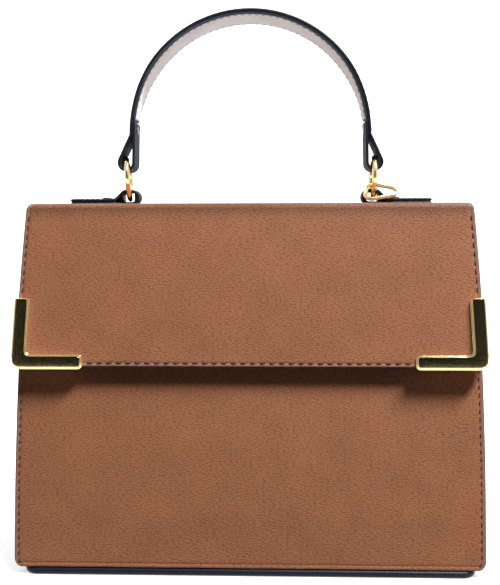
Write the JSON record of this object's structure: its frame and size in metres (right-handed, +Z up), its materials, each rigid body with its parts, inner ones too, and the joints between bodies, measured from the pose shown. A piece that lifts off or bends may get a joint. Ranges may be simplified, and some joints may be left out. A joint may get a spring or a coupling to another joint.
{
  "type": "top handle bag",
  "caption": "Structured top handle bag with a hinged lid and front flap, metal corner fittings, a round arched handle on rings, folded side gussets and a flat base",
  "frame": {"origin": "middle of the flat base, on the ground", "axes": "+X along the bag's width to the right as seen from the front, +Y from the front to the back, +Z up"},
  "size_m": [0.268, 0.1082, 0.326],
  "materials": {
    "brown_leather": "pebbled, satin",
    "black_leather": "smooth, satin",
    "grey_leather": "smooth, matte",
    "board": "matte",
    "lining": "woven, matte",
    "gold": "polished plating",
    "dark_metal": "dark plating",
    "zip_tape": "woven, matte"
  },
  "bodies": {
    "bag": {"front_panel": "brown_leather", "front_board": "board", "front_lining": "lining", "back_panel": "brown_leather", "back_board": "board", "back_lining": "lining", "gusset_left": "black_leather", "gusset_right": "black_leather", "gusset_lining_left": "lining", "gusset_lining_right": "lining", "base_panel": "black_leather", "base_board": "board", "base_lining": "lining", "facing_front": "black_leather", "facing_back": "black_leather", "snap_socket": "gold", "socket_washer": "gold", "slip_pocket": "lining", "zip_pocket_bag": "lining", "zip_tape_upper": "zip_tape", "zip_tape_lower": "zip_tape", "zip_chain": "gold"},
    "lid": {"lid_panel": "brown_leather", "lid_board": "board", "lid_lining": "lining", "tab_left": "black_leather", "tab_right": "black_leather", "tab_rivets": "dark_metal"},
    "flap": {"flap_panel": "brown_leather", "flap_board": "board", "flap_lining": "lining", "snap_stud": "gold", "stud_washer": "gold", "corner_fitting_left": "gold", "corner_fitting_right": "gold", "fitting_washers": "gold"},
    "handle": {"handle_strap": "black_leather", "handle_grip": "grey_leather", "handle_rivets": "dark_metal"},
    "ring_left": {"ring_left": "gold"},
    "ring_right": {"ring_right": "gold"},
    "side_ring": {"side_ring": "gold"},
    "zip_slider": {"zip_slider": "gold"},
    "zip_pull": {"zip_pull": "gold"}
  },
  "joints": [
    {"name": "lid_open", "type": "hinge", "parent": "bag", "child": "lid", "pos_m": [0, 0.0312, 0.2077], "axis": [-1, 0, 0], "range_deg": [0, 110]},
    {"name": "flap_open", "type": "hinge", "parent": "lid", "child": "flap", "pos_m": [0, -0.0355, 0.2077], "axis": [-1, 0, 0], "range_deg": [0, 100]},
    {"name": "handle_tilt", "type": "hinge", "parent": "lid", "child": "handle", "pos_m": [0, 0, 0.2276], "axis": [1, 0, 0], "range_deg": [-60, 35]},
    {"name": "ring_left_turn", "type": "hinge", "parent": "lid", "child": "ring_left", "pos_m": [-0.0746, 0, 0.2276], "axis": [1, 0, 0], "range_deg": [-31, 18]},
    {"name": "ring_right_turn", "type": "hinge", "parent": "lid", "child": "ring_right", "pos_m": [0.0746, 0, 0.2276], "axis": [1, 0, 0], "range_deg": [-31, 18]},
    {"name": "side_ring_swing", "type": "hinge", "parent": "lid", "child": "side_ring", "pos_m": [0.0746, -0.01016, 0.22049], "axis": [0, 0.766, -0.6428], "range_deg": [-25, 20]},
    {"name": "zip_slide", "type": "slide", "parent": "bag", "child": "zip_slider", "axis": [1, 0, 0], "range_m": [-0.136, 0]},
    {"name": "zip_pull_turn", "type": "hinge", "parent": "zip_slider", "child": "zip_pull", "pos_m": [0.068, 0.03161, 0.15304], "axis": [0, -0.0901, 0.9959], "range_deg": [0, 170]}
  ],
  "couplings": [
    {"joint": "ring_left_turn", "follows": "handle_tilt", "ratio": 0.5},
    {"joint": "ring_right_turn", "follows": "handle_tilt", "ratio": 0.5}
  ]
}
